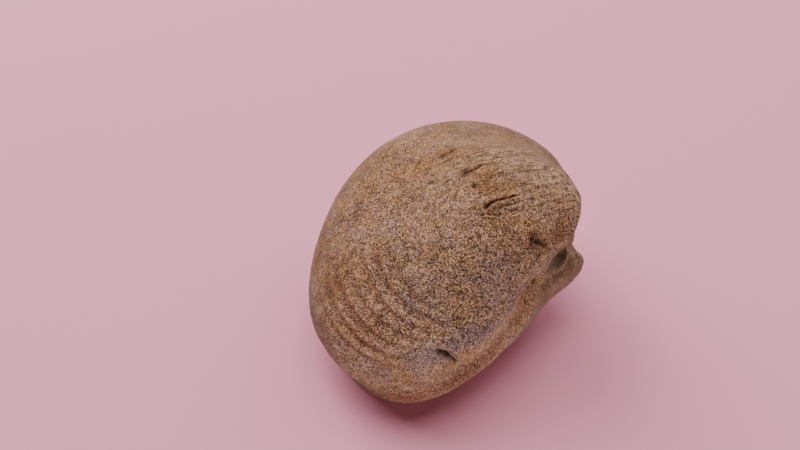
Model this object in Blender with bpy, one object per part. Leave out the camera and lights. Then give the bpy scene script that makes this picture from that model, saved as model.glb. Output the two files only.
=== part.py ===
"""Fossil bivalve: the sandstone internal mould of a closed, inflated clam, both valves in one stone.

The mould is lofted in a shell frame: x runs along the hinge line, y points from the ventral margin
to the hinge (dorsal), and z points out of the upper valve. Each growth ring is the margin outline,
shrunk and swung up about the hinge, so that its ventral end follows the section over the dome and
its hinge end follows the inner face of the beak. Ring fraction t is 0 at the margin and 1 at the
beak. Bearing b is 0 at the hinge and grows toward the near end of the shell.

The stone is then laid down as it rests, on a worn flat under the lower valve.
"""

import math

import bmesh
import bpy
import numpy as np
from mathutils import Matrix, Vector

MM = 0.001

# Margin outline: mean radius and its first three waves (cosine and sine parts).
OUTLINE_RADIUS = 23.4 * MM
OUTLINE_WAVES = np.array(((-7.5, -2.0), (-1.8, -2.9), (1.35, -0.25))) * MM

# Section through the middle of the upper valve, from the blunt margin over the dome to the hinge.
SECTION = np.array((
    (-44.0, 0.9),
    (-43.05, 11.2),
    (-26.9, 16.8),
    (-12.4, 18.7),
    (-3.3, 15.9),
    (1.3, 11.8),
    (3.9, 8.4),
    (2.0, 5.4),
    (1.2, 2.6),
    (1.9, 0.0),
)) * MM
BEAK_FRACTION = 0.935
LOWER_VALVE_DEPTH = 0.87

# How far the beaks lean from the middle section, along the hinge and past it.
UPPER_BEAK_SHIFT = np.array((-1.5, 0.0)) * MM
LOWER_BEAK_SHIFT = np.array((-2.2, 0.7)) * MM

# Soft swells of the loft in the shell frame: the valves each one shapes, centre, reach and push.
SWELLS = {
    "shoulder behind the upper beak": ((1,), (-8.0, 1.0, 8.0), (7.0, 5.0, 6.0), (-1.65, 2.53, 1.27)),
    "full far flank": ((1,), (-17.0, -3.5, 6.5), (7.0, 6.0, 6.0), (-0.6, 1.1, 2.0)),
    "round upper beak": ((1,), (-3.0, 4.0, 8.5), (4.5, 3.5, 4.0), (0.41, 0.0, 0.0)),
    "ventral edge of the dome": ((1,), (-4.0, -42.0, 10.0), (8.0, 8.0, 8.0), (0.41, -0.35, 0.17)),
    "low far hinge edge": ((1, -1), (-10.0, -1.0, 0.0), (7.0, 5.0, 4.0), (2.06, -2.48, -1.26)),
    "low near rim": ((1, -1), (23.0, -13.0, -1.5), (9.0, 9.0, 6.0), (-0.9, -0.36, -0.33)),
    "far shoulder": ((1, -1), (-27.0, -12.0, 3.0), (9.0, 9.0, 7.0), (-0.26, -0.16, 0.26)),
    "near ventral corner": ((1, -1), (23.0, -40.0, 3.0), (9.0, 9.0, 8.0), (-0.12, 0.35, 0.44)),
    "trimmed lower beak": ((-1,), (-4.1, 3.9, -5.4), (2.2, 2.2, 3.6), (0.35, -1.58, 0.22)),
    "lower beak tip": ((-1,), (-0.5, 4.2, -7.3), (3.0, 3.0, 3.0), (-0.56, 0.06, 0.76)),
    "lower hinge flank": ((-1,), (2.5, 0.5, -9.8), (3.5, 3.5, 3.5), (0.75, 0.07, -0.29)),
    "hollow near lower flank": ((-1,), (7.5, -1.4, -8.8), (5.7, 5.7, 5.7), (-0.91, -1.12, 0.66)),
}

# Relief stands out along lines from this point.
STONE_MIDDLE = np.array((0.0, -20.0, 0.0)) * MM

# Growth ridges of the ventral half, strongest at one bearing and gone toward the hinge.
RIDGE_PITCH = 0.0365
RIDGE_PHASE = 0.286
RIDGE_START = 0.20
RIDGE_END = 0.54
RIDGE_HEIGHT = 0.26 * MM
RIDGE_BEARING = math.radians(142)
RIDGE_REACH = math.radians(36)
RIDGE_FADE = math.radians(10)
RIDGE_BEARING_LIMIT = math.radians(108)

# Slow lumps of the whole stone.
LUMP_HEIGHT = 0.16 * MM
LUMP_LENGTH = 9.0 * MM

# Groove where the valves meet, deepest beside the hinge.
SEAM_DEPTH = 0.8 * MM
SEAM_HALF_WIDTH = 0.9 * MM
SEAM_BEARING = math.radians(40)
SEAM_REACH = math.radians(28)
SEAM_FAINT = 0.2

# How the stone lies: turned, leaning to its near end and to its ventral margin, worn flat below.
TURN = math.radians(-10.85)
LEAN_NEAR = math.radians(12.1)
LEAN_VENTRAL = math.radians(-16.6)
BASE_WEAR = 5.5 * MM

# Mesh density.
SEGMENTS = 78
SEGMENT_CROWDING = 0.3

# Pocket beside the hinge: centre, outward axis and long side in the shell frame; half sizes of its mouth.
POCKET_CENTRE = Vector((1.7, 0.4, -1.0)) * MM
POCKET_AXIS = Vector((0.54, 0.70, 0.40)).normalized()
POCKET_LINE = Vector((0.53, -0.45, -0.71))
POCKET_LENGTH = 5.6 * MM
POCKET_WIDTH = 3.8 * MM
POCKET_RISE = 1.2 * MM
POCKET_DEPTH = 2.6 * MM
POCKET_FLOOR = 0.15
POCKET_SIDES = 7

# Cracks and pits of the upper valve: ring fraction and bearing in degrees along the line, and half width.
CRACKS = {
    "step_crack": (((0.665, 152), (0.697, 164), (0.72, 168), (0.755, 175), (0.80, 190)), 0.4 * MM),
    "upper_crack": (((0.615, 190), (0.639, 204), (0.664, 210), (0.70, 211)), 0.4 * MM),
    "slot": (((0.29, 103), (0.25, 98), (0.20, 92)), 0.65 * MM),
    "brown_pit": (((0.79, 121), (0.806, 112), (0.815, 100)), 0.6 * MM),
}
CRACK_SINK = 0.35
CRACK_SLIMNESS = 1.6

STONE_COLOR = (0.262, 0.148, 0.098, 1.0)
STONE_ROUGHNESS = 0.9


def clear_scene():
    """Remove whatever the file holds."""
    for item in list(bpy.data.objects):
        bpy.data.objects.remove(item, do_unlink=True)


def spline_through(points, start_slope):
    """Return a cubic spline by fraction of chord length, clamped at its start and free at its end."""
    count = len(points)
    stations = np.concatenate(([0.0], np.cumsum(np.linalg.norm(np.diff(points, axis=0), axis=1))))
    step = np.diff(stations)
    slope = np.diff(points, axis=0) / step[:, None]
    system = np.eye(count)
    right = np.zeros_like(points)
    system[0, :2] = 2 * step[0], step[0]
    right[0] = 6 * (slope[0] - start_slope)
    for i in range(1, count - 1):
        system[i, i - 1:i + 2] = step[i - 1], 2 * (step[i - 1] + step[i]), step[i]
        right[i] = 6 * (slope[i] - slope[i - 1])
    bend = np.linalg.solve(system, right)

    def at(fraction):
        place = np.asarray(fraction) * stations[-1]
        i = np.clip(np.searchsorted(stations, place, side="right") - 1, 0, count - 2)
        width = step[i][:, None]
        before = (stations[i + 1] - place)[:, None] / width
        after = (place - stations[i])[:, None] / width
        curve = (before ** 3 - before) * bend[i] + (after ** 3 - after) * bend[i + 1]
        return before * points[i] + after * points[i + 1] + curve * width ** 2 / 6

    return at


def outline_radius(bearing):
    """Return the margin's distance from its centre."""
    radius = np.full_like(bearing, OUTLINE_RADIUS)
    for order, (cosine, sine) in enumerate(OUTLINE_WAVES, start=1):
        radius += cosine * np.cos(order * bearing) + sine * np.sin(order * bearing)
    return radius


def valve_surface(fraction, bearing, side):
    """Return the smooth surface of one valve as an array of rings, in the shell frame."""
    hinge_radius, ventral_radius = outline_radius(np.array((0.0, math.pi)))
    height = hinge_radius + ventral_radius
    section = spline_through(np.vstack(((-height, 0.0), SECTION)), np.array((0.0, 1.0)))
    ventral = section(fraction * BEAK_FRACTION)
    hinge = section(1 - fraction * (1 - BEAK_FRACTION))
    swing = (hinge - ventral) / height
    radius = outline_radius(bearing)
    across = radius * np.sin(bearing)
    down = radius * np.cos(bearing) - hinge_radius
    size = np.linalg.norm(swing, axis=1)
    shift = np.outer(fraction ** 3, UPPER_BEAK_SHIFT if side > 0 else LOWER_BEAK_SHIFT)
    x = shift[:, :1] + size[:, None] * across
    y = shift[:, 1:] + hinge[:, :1] + swing[:, :1] * down
    z = hinge[:, 1:] + swing[:, 1:] * down
    if side < 0:
        z = -z * LOWER_VALVE_DEPTH
    points = np.stack((x, y, z), axis=-1)
    for sides, centre, reach, push in SWELLS.values():
        if side in sides:
            away = (points - np.array(centre) * MM) / (np.array(reach) * MM)
            points = points + np.exp(-np.sum(away ** 2, axis=-1))[..., None] * np.array(push) * MM
    return points


def wrapped(angle):
    """Return an angle brought between minus pi and pi."""
    return (angle + math.pi) % (2 * math.pi) - math.pi


def step_up(value, width):
    """Return a smooth step from 0 to 1 about zero."""
    return 0.5 + 0.5 * np.tanh(value / width)


def relief(fraction, bearing, points):
    """Return how far the surface stands out from the smooth loft: ridges, lumps and seam."""
    t = fraction[:, None]
    b = bearing[None, :]
    window = step_up(t - RIDGE_START, RIDGE_PITCH / 2) * step_up(RIDGE_END - t, RIDGE_PITCH)
    window = window * np.exp(-(wrapped(b - RIDGE_BEARING) / RIDGE_REACH) ** 2)
    window = window * step_up(b - RIDGE_BEARING_LIMIT, RIDGE_FADE)
    ridges = -RIDGE_HEIGHT * window * np.cos(2 * math.pi * (t - RIDGE_PHASE) / RIDGE_PITCH)
    x, y, z = np.moveaxis(points / LUMP_LENGTH, -1, 0)
    lumps = np.sin(1.3 * x + 0.7 * y + 0.6) * np.sin(1.1 * z - 1.2 * y + 0.4)
    lumps = lumps + 0.6 * np.sin(1.7 * y + 1.5 * z + 1.1) * np.sin(1.9 * x - 1.2 * z)
    lumps = LUMP_HEIGHT * lumps
    seam = np.exp(-(points[..., 2] / SEAM_HALF_WIDTH) ** 2)
    strength = SEAM_FAINT + (1 - SEAM_FAINT) * np.exp(-(wrapped(b - SEAM_BEARING) / SEAM_REACH) ** 2)
    return ridges + lumps - SEAM_DEPTH * seam * strength


def outward(points):
    """Return unit directions away from the middle of the stone."""
    away = points - STONE_MIDDLE
    return away / np.linalg.norm(away, axis=-1, keepdims=True)


def upper_rings():
    """Return the upper valve's ring fractions: three to each ridge, few elsewhere."""
    margin = np.array((0.015, 0.04, 0.075, 0.11, 0.15))
    ridged = np.arange(RIDGE_PHASE - 2.5 * RIDGE_PITCH, RIDGE_END, RIDGE_PITCH / 3)
    dome = np.linspace(ridged[-1], 1.0, 13)[1:-1]
    return np.concatenate((margin, ridged, dome))


def lower_rings():
    """Return the lower valve's ring fractions, closer together near the margin."""
    return np.linspace(0.0, 1.0, 18)[1:-1] ** 1.2


def segment_bearings(count):
    """Return bearings around a ring, closer together at the hinge."""
    even = np.arange(count) / count * 2 * math.pi
    return even - SEGMENT_CROWDING * np.sin(even)


def mould_grid():
    """Return rings from the upper beak over the margin to the lower beak, with relief."""
    bearing = segment_bearings(SEGMENTS)
    upper = upper_rings()[::-1]
    lower = lower_rings()
    fraction = np.concatenate((upper, (0.0,), lower))
    top = valve_surface(fraction[:len(upper) + 1], bearing, 1)
    bottom = valve_surface(lower, bearing, -1)
    grid = np.concatenate((top, bottom))
    return grid + outward(grid) * relief(fraction, bearing, grid)[..., None]


def beak_point(side):
    """Return the tip of a beak."""
    return valve_surface(np.array((1.0,)), np.array((0.0,)), side)[0, 0]


def resting_pose():
    """Return the rotation from the shell frame to the stone as it lies."""
    laid = Matrix(((0, 1, 0), (-1, 0, 0), (0, 0, 1))).to_4x4()
    lean = Matrix.Rotation(LEAN_NEAR, 4, "X") @ Matrix.Rotation(LEAN_VENTRAL, 4, "Y")
    return Matrix.Rotation(TURN, 4, "Z") @ lean @ laid


def skin(mesh, grid):
    """Cover a grid of rings with quads and close both ends with a fan."""
    rings = [[mesh.verts.new(point) for point in ring] for ring in grid]
    count = len(rings[0])
    for first, second in zip(rings, rings[1:]):
        for i in range(count):
            j = (i + 1) % count
            mesh.faces.new((first[i], first[j], second[j], second[i]))
    for ring, side in ((rings[0], 1), (rings[-1], -1)):
        tip = mesh.verts.new(beak_point(side))
        for i in range(count):
            mesh.faces.new((tip, ring[i], ring[(i + 1) % count]))
    bmesh.ops.recalc_face_normals(mesh, faces=mesh.faces)


def wear_flat(mesh):
    """Cut the worn flat under the lower valve and return its centre."""
    lowest = min(vertex.co.z for vertex in mesh.verts)
    level = Vector((0.0, 0.0, lowest + BASE_WEAR))
    everything = mesh.verts[:] + mesh.edges[:] + mesh.faces[:]
    bmesh.ops.bisect_plane(mesh, geom=everything, plane_co=level, plane_no=(0, 0, -1), clear_outer=True)
    rim = [edge for edge in mesh.edges if edge.is_boundary]
    base = bmesh.ops.contextual_create(mesh, geom=rim)["faces"][0]
    bmesh.ops.recalc_face_normals(mesh, faces=mesh.faces)
    return base.calc_center_median_weighted()


def stone_material():
    """Return the plain tan-brown sandstone."""
    material = bpy.data.materials.new("sandstone")
    material.use_nodes = True
    shader = material.node_tree.nodes["Principled BSDF"]
    shader.inputs["Base Color"].default_value = STONE_COLOR
    shader.inputs["Roughness"].default_value = STONE_ROUGHNESS
    shader.inputs["Metallic"].default_value = 0.0
    return material


def add_object(name, mesh):
    """Turn a bmesh into an object of the scene."""
    data = bpy.data.meshes.new(name)
    mesh.to_mesh(data)
    mesh.free()
    item = bpy.data.objects.new(name, data)
    bpy.context.collection.objects.link(item)
    return item


def make_mould(pose):
    """Build the stone and return it with the shift that puts its flat at the origin."""
    mesh = bmesh.new()
    skin(mesh, mould_grid())
    mesh.transform(pose)
    centre = wear_flat(mesh)
    bmesh.ops.translate(mesh, verts=mesh.verts, vec=-centre)
    stone = add_object("fossil_bivalve", mesh)
    stone.data.materials.append(stone_material())
    stone.data.shade_smooth()
    stone.data.set_sharp_from_angle(angle=math.radians(40))
    return stone, Matrix.Translation(-centre) @ pose


def surface_frame(ring, degrees):
    """Return a point of the upper valve and its outward normal, in the shell frame."""
    step = 0.01
    fraction = np.array((ring - step, ring, ring + step))
    bearing = np.radians(np.array((degrees - 1.0, degrees, degrees + 1.0)))
    patch = valve_surface(fraction, bearing, 1)
    normal = np.cross(patch[1, 2] - patch[1, 0], patch[2, 1] - patch[0, 1])
    normal = Vector(normal).normalized()
    point = Vector(patch[1, 1])
    if normal.dot(point - Vector(STONE_MIDDLE)) < 0:
        normal = -normal
    return point, normal


def make_crack_cutter(name, line, half_width, place):
    """Build a spindle along a line on the upper valve, widest in its middle."""
    mesh = bmesh.new()
    frames = [surface_frame(*station) for station in line]
    rings = []
    for i, (point, normal) in enumerate(frames[1:-1], start=1):
        along = (frames[i + 1][0] - frames[i - 1][0]).normalized()
        side = along.cross(normal).normalized()
        centre = point - normal * half_width * CRACK_SINK
        corners = (side, -normal * CRACK_SLIMNESS, -side, normal * CRACK_SLIMNESS)
        rings.append([mesh.verts.new(centre + corner * half_width) for corner in corners])
    ends = [mesh.verts.new(frames[i][0]) for i in (0, -1)]
    for first, second in zip(rings, rings[1:]):
        for i in range(4):
            j = (i + 1) % 4
            mesh.faces.new((first[i], first[j], second[j], second[i]))
    for tip, ring in zip(ends, (rings[0], rings[-1])):
        for i in range(4):
            mesh.faces.new((tip, ring[i], ring[(i + 1) % 4]))
    bmesh.ops.recalc_face_normals(mesh, faces=mesh.faces)
    mesh.transform(place)
    return add_object(name, mesh)


def make_pocket_cutter(place):
    """Build the seven-sided cone that opens the pocket beside the hinge, its mouth outward."""
    mesh = bmesh.new()
    bmesh.ops.create_cone(
        mesh, cap_ends=True, segments=POCKET_SIDES, radius1=POCKET_FLOOR, radius2=1.0, depth=1.0)
    height = POCKET_RISE + POCKET_DEPTH
    bmesh.ops.scale(mesh, vec=(POCKET_LENGTH, POCKET_WIDTH, height), verts=mesh.verts)
    bmesh.ops.translate(mesh, vec=(0, 0, (POCKET_RISE - POCKET_DEPTH) / 2), verts=mesh.verts)
    across = POCKET_AXIS.cross(POCKET_LINE).normalized()
    along = across.cross(POCKET_AXIS)
    turn = Matrix((along, across, POCKET_AXIS)).transposed().to_4x4()
    mesh.transform(place @ Matrix.Translation(POCKET_CENTRE) @ turn)
    bmesh.ops.recalc_face_normals(mesh, faces=mesh.faces)
    return add_object("hinge_pocket_cutter", mesh)


def cut(stone, cutter):
    """Take a cutter out of the stone and hide it."""
    cutter.hide_render = True
    cutter.display_type = "WIRE"
    difference = stone.modifiers.new(cutter.name, "BOOLEAN")
    difference.operation = "DIFFERENCE"
    difference.solver = "EXACT"
    difference.object = cutter


def main():
    clear_scene()
    stone, place = make_mould(resting_pose())
    cut(stone, make_pocket_cutter(place))
    for name, (line, half_width) in CRACKS.items():
        cut(stone, make_crack_cutter(name + "_cutter", line, half_width, place))


main()
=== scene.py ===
"""Fossil bivalve: the fine surface and look of a sandstone clam mould, with floor, light and camera."""

import functools
import math

import bpy
import numpy as np
from bpy.props import FloatProperty, FloatVectorProperty, PointerProperty
from mathutils import Matrix, Vector


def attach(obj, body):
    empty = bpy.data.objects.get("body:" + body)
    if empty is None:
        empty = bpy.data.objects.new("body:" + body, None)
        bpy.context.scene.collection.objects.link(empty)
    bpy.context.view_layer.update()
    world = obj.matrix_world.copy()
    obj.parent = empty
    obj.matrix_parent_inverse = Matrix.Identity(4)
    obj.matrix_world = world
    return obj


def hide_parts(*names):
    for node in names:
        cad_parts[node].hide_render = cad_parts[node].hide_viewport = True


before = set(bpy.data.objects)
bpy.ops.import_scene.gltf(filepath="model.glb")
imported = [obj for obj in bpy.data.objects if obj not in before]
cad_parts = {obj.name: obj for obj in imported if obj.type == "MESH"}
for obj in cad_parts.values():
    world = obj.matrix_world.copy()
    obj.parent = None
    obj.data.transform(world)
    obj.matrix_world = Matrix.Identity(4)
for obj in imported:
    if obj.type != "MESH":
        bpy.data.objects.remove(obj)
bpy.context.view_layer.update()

bl_info = {
    "name": "Fossil Bivalve",
    "version": (1, 0, 0),
    "blender": (4, 5, 0),
    "location": "View3D > Sidebar > Fossil",
    "description": "Builds the fine surface of a sandstone clam mould and a plain stage for it",
    "category": "Add Mesh",
}

MM = 0.001

# Soft boxes that all face the stone: place, width and height in metres, and watts. The watts began from a
# least-squares fit by another program and were then adjusted.
SOFT_BOXES = {
    "back_left_box": ((-0.6, 0.6, 0.8), 0.8, 0.8, 13.0),
    "back_right_box": ((0.6, 0.6, 0.8), 0.8, 0.8, 5.2),
    "top_box": ((0.0, 0.22, 0.85), 0.5, 0.5, 4.0),
    "front_card": ((0.05, -0.9, 0.07), 0.8, 0.08, 2.8),
    "right_card": ((0.65, -0.6, 0.09), 0.8, 0.12, 1.7),
}

LIGHT_TARGET = Vector((0, 0, 0.01))
FLOOR_HALF_WIDTH = 0.9
CAMERA_NEAREST = 0.005

# Width of the camera's sensor in millimetres.
CAMERA_SENSOR = 36

# ---- The loft, in the shell frame: x along the hinge, y to the hinge, z out of the upper valve ----

# The outline, the section, the angles at which the stone lies, and the camera's place and lens are rounded
# results of a least-squares fit by another program, not sizes that were chosen.
OUTLINE_RADIUS = 23.4
OUTLINE_WAVES = np.array(((-7.5, -2.0), (-1.8, -2.9), (1.35, -0.25)))
SECTION = np.array((
    (-44.0, 0.9),
    (-43.05, 11.2),
    (-26.9, 16.8),
    (-12.4, 18.7),
    (-3.3, 15.9),
    (1.3, 11.8),
    (3.9, 8.4),
    (2.0, 5.4),
    (1.2, 2.6),
    (1.9, 0.0),
))
BEAK_FRACTION = 0.935
LOWER_VALVE_DEPTH = 0.87
UPPER_BEAK_SHIFT = np.array((-1.5, 0.0))
LOWER_BEAK_SHIFT = np.array((-2.2, 0.7))
STONE_MIDDLE = np.array((0.0, -20.0, 0.0))

# Soft swells of the loft: the valves each one shapes, centre, reach and push, in millimetres. The pushes are
# results of a second least-squares fit by another program, but for the full far flank and the neck.
SWELLS = {
    "shoulder behind the upper beak": ((1,), (-8.0, 1.0, 8.0), (7.0, 5.0, 6.0), (-1.65, 2.53, 1.27)),
    "full far flank": ((1,), (-17.0, -3.5, 6.5), (7.0, 6.0, 6.0), (-0.6, 1.1, 2.0)),
    "round upper beak": ((1,), (-3.0, 4.0, 8.5), (4.5, 3.5, 4.0), (0.41, 0.0, 0.0)),
    "ventral edge of the dome": ((1,), (-4.0, -42.0, 10.0), (8.0, 8.0, 8.0), (0.41, -0.35, 0.17)),
    "low far hinge edge": ((1, -1), (-10.0, -1.0, 0.0), (7.0, 5.0, 4.0), (2.06, -2.48, -1.26)),
    "low near rim": ((1, -1), (23.0, -13.0, -1.5), (9.0, 9.0, 6.0), (-0.9, -0.36, -0.33)),
    "far shoulder": ((1, -1), (-27.0, -12.0, 3.0), (9.0, 9.0, 7.0), (-0.26, -0.16, 0.26)),
    "near ventral corner": ((1, -1), (23.0, -40.0, 3.0), (9.0, 9.0, 8.0), (-0.12, 0.35, 0.44)),
    "trimmed lower beak": ((-1,), (-4.1, 3.9, -5.4), (2.2, 2.2, 3.6), (0.35, -1.58, 0.22)),
    "lower beak tip": ((-1,), (-0.5, 4.2, -7.3), (3.0, 3.0, 3.0), (-0.56, 0.06, 0.76)),
    "lower hinge flank": ((-1,), (2.5, 0.5, -9.8), (3.5, 3.5, 3.5), (0.75, 0.07, -0.29)),
    "hollow near lower flank": ((-1,), (7.5, -1.4, -8.8), (5.7, 5.7, 5.7), (-0.91, -1.12, 0.66)),
    "neck between the beaks": ((1, -1), (-1.0, 2.1, 1.5), (2.5, 2.5, 2.8), (0.0, 0.75, 0.0)),
}

# Growth ridges by ring fraction and bearing, how far they stray, and how uneven their height is.
RIDGE_PITCH = 0.0365
RIDGE_PHASE = 0.286
RIDGE_START = 0.2
RIDGE_END = 0.44
RIDGE_BEARING = math.radians(136)
RIDGE_REACH = math.radians(27)
RIDGE_WANDER = 0.003
RIDGE_UNEVENNESS = 0.4
TROUGH_POWER = 1.5

# Noises of the surface: length in millimetres of the slowest layer, number of layers, and seed. Each
# layer fades against the last and is shifted from it.
NOISES = {
    "ridge line": (9.0, 2, 5),
    "ridge strength": (6.0, 2, 11),
    "crack edge": (1.3, 2, 23),
    "crack sway": (1.8, 2, 29),
    "pocket edge": (2.2, 3, 31),
    "grit": (3.0, 3, 41),
    "ledges": (0.9, 2, 53),
}
NOISE_FADE = 0.55
NOISE_SHIFT = 17.3
LUMP_LENGTH = 9.0

# The rough patch beside the upper beak has its lumps drawn out along the fine layers of the sandstone.
STRETCH = np.array(((1.0, 0.5, 0.0), (-0.2, 0.35, 0.0), (0.0, 0.0, 0.8)))
LEDGE_SINK = 0.55

# The waist between the valves is filled from lip to lip, wholly round the near rim and partly elsewhere.
LIP_RING = 0.085
FILL_BEARING = math.radians(112)
FILL_REACH = math.radians(62)
FILL_ELSEWHERE = 0.3

# The groove between the valves, beside the hinge alone.
SEAM_HALF_WIDTH = 0.9
SEAM_BEARING = math.radians(40)
SEAM_REACH = math.radians(22)

# The pocket beside the hinge is an oval cone: its centre, axis and long direction, then its half length and
# half width, how far it rises and sinks from its centre, its flat floor's share, and its ragged edge.
# These seven values, down to its depth, are the best of a random search by another program.
POCKET_CENTRE = np.array((0.67, 1.47, -2.08))
POCKET_AXIS = np.array((0.67, 0.35, 0.37))
POCKET_LINE = np.array((0.87, -0.85, -0.42))
POCKET_LENGTH = 6.74
POCKET_WIDTH = 4.04
POCKET_RISE = 3.03
POCKET_DEPTH = 2.95
POCKET_FLOOR = 0.15
POCKET_RAGGEDNESS = 0.09

# How the stone lies, and where the centre of its worn flat is before it is brought to the origin.
TURN = math.radians(-10.85)
LEAN_NEAR = math.radians(12.1)
LEAN_VENTRAL = math.radians(-16.6)
FLAT_CENTRE = np.array((-26.597, -0.319, -19.639))
FLAT_EDGE = 0.35

# Rings of each valve and segments round a ring, which crowd together over the ridges and cracks.
UPPER_RINGS = 284
LOWER_RINGS = 60
SEGMENTS = 286
CROWDED_BEARING = math.radians(150)
CROWDED_REACH = math.radians(60)
CROWDING = 1.6
CROWDING_STEPS = 2001

# Ring fraction of the small rings that the two beaks end in.
LAST_RING = 0.9985

# The surface lies this far under the loft, so that its grit stays inside the solid's box.
SKIN_INSET = 0.12

# Cracks of the upper valve: stations along the line, each a ring fraction and a bearing in degrees, then
# half width and depth in millimetres. Another program looked up the stations of the cracks, lips, pits and
# colour zones for points that were picked by eye, and some were then moved.
CRACKS = {
    "step": (
        ((0.663, 153.3), (0.681, 157.2), (0.689, 162.6), (0.701, 165.9),
         (0.719, 168.9), (0.739, 171.9), (0.76, 177.6), (0.788, 186.3)),
        0.18, 0.5,
    ),
    "step heart": (((0.683, 159.0), (0.701, 165.9), (0.719, 168.9)), 0.26, 0.7),
    "step branch": (((0.724, 162.0), (0.749, 165.6), (0.78, 172.2)), 0.16, 0.3),
    "step twig": (((0.737, 156.3), (0.756, 159.3), (0.77, 162.9)), 0.2, 0.35),
    "upper": (
        ((0.607, 190.2), (0.617, 195.3), (0.629, 201), (0.645, 207), (0.665, 210.3), (0.687, 211.5)),
        0.21, 0.45,
    ),
    "slot": (((0.292, 102.6), (0.274, 99.6), (0.24, 95.5)), 0.4, 1.5),
    "slot tail": (((0.24, 95.5), (0.222, 93.6), (0.182, 90.9)), 0.26, 0.8),
    "brown pit": (((0.78, 130.8), (0.788, 127)), 0.6, 0.5),
    "brown pit slope": (((0.788, 127), (0.798, 123), (0.814, 112)), 0.6, 0.48),
    "brown pit side": (((0.788, 127), (0.765, 121)), 0.4, 0.4),
    "rim": (((0.10, 112.5), (0.11, 109.5), (0.122, 106.2)), 0.17, 0.4),
}

# Raised lips along the lower side of a crack: stations along the line, half width and height in millimetres.
LIPS = {
    "step": (((0.672, 155.0), (0.695, 159.9), (0.717, 164.4), (0.747, 171.0), (0.774, 176.1)), 0.4, 0.42),
    "slot": (((0.262, 101.5), (0.238, 98.5)), 0.5, 0.25),
}

# How a crack's edge is ragged, which way and how far it strays, and how fast and far it thins to its tips.
CRACK_RAGGEDNESS = 0.35
CRACK_SWAY = np.array((0.54, 0.70, 0.40))
CRACK_STRAY = 0.35
CRACK_TAPER = 6
CRACK_TIP = 0.15
LIP_TAPER = 4

# Pits of the upper valve: ring fraction, bearing in degrees, and radius and depth in millimetres.
PITS = (
    (0.526, 188.5, 0.45, 0.5),
    (0.501, 215, 0.5, 0.5),
    (0.508, 221, 0.45, 0.45),
    (0.514, 218, 0.6, 0.3),
    (0.654, 183, 0.45, 0.45),
    (0.777, 159.5, 0.4, 0.35),
    (0.429, 150.5, 0.22, 0.5),
    (0.639, 136, 0.24, 0.5),
    (0.409, 118, 0.24, 0.5),
    (0.371, 158.5, 0.2, 0.4),
    (0.336, 161.5, 0.2, 0.4),
    (0.72, 23.5, 0.5, 0.5),
    (0.768, 107, 0.35, 0.35),
)

# Pits of the lower valve.
LOWER_PITS = (
    (0.208, 48.6, 0.45, 0.6),
    (0.12, 30.0, 0.5, 0.5),
)

# ---- Colour zones, each a value on the points of the surface: none at 0 and full at 1 ----

# Bell curves round spots or along a band of the upper valve: strength, reach in millimetres, and stations
# of ring fraction and bearing in degrees. The strongest row counts, and the brown rows add up.
SPOTS_AND_BANDS = {
    "orange": (
        ("spots", 1.0, 4.2, ((0.50, 208), (0.53, 220), (0.47, 204))),
        ("spots", 1.0, 3.2, ((0.677, 186), (0.66, 197), (0.713, 178))),
        ("spots", 0.9, 1.6, ((0.212, 113), (0.16, 106), (0.24, 109))),
        ("spots", 0.6, 5.0, ((0.265, 208), (0.30, 150), (0.42, 200), (0.35, 185), (0.73, 137))),
    ),
    "brown": (
        ("spots", 1.0, 1.5, ((0.617, 197), (0.677, 186), (0.70, 163), (0.505, 215),
                             (0.79, 124), (0.806, 117), (0.868, 119))),
        ("spots", 0.9, 0.9, ((0.784, 129), (0.79, 126))),
        ("spots", 0.45, 4.0, ((0.88, 172),)),
    ),
    "pale": (
        ("band", 1.0, 1.3, ((0.228, 16.5), (0.12, 24.3), (0.05, 37.5), (0.12, 50), (0.27, 69),
                            (0.29, 80), (0.31, 89), (0.30, 96), (0.285, 104), (0.25, 108))),
        ("band", 0.7, 2.4, ((0.19, 150), (0.16, 140), (0.17, 112))),
    ),
    "grey": (
        ("spots", 1.0, 1.5, ((0.315, 89), (0.315, 99), (0.335, 94), (0.329, 86))),
        ("spots", 1.0, 1.8, ((0.269, 103), (0.24, 106))),
        ("spots", 0.45, 3.5, ((0.525, 98), (0.45, 125), (0.60, 110), (0.50, 80), (0.66, 120))),
    ),
    "red": (
        ("band", 0.55, 2.2, ((0.26, 122), (0.285, 132), (0.285, 146))),
        ("spots", 1.0, 1.6, ((0.72, 23.5), (0.80, 60))),
        ("spots", 1.0, 1.3, ((0.865, 120), (0.90, 105))),
    ),
    "rough": (
        ("band", 1.0, 4.0, ((0.66, 158), (0.72, 168), (0.78, 185))),
        ("spots", 1.0, 3.5, ((0.64, 205), (0.67, 190), (0.74, 178), (0.76, 155))),
        ("spots", 0.8, 1.8, ((0.79, 120), (0.80, 108))),
    ),
    # The sandy zone is partly a paler sandy tone and partly painted light on the lower front faces.
    "sandy": (
        ("spots", 1.0, 2.4, ((0.20, 98), (0.16, 93), (0.17, 112))),
        ("spots", 1.4, 1.6, ((0.212, 112.8), (0.184, 108))),
        ("spots", 0.9, 2.2, ((0.20, 150), (0.195, 143))),
        ("band", 1.0, 2.0, ((0.12, 125), (0.14, 110), (0.14, 95), (0.17, 84),
                            (0.15, 72), (0.06, 62), (0.02, 52))),
    ),
}

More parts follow.
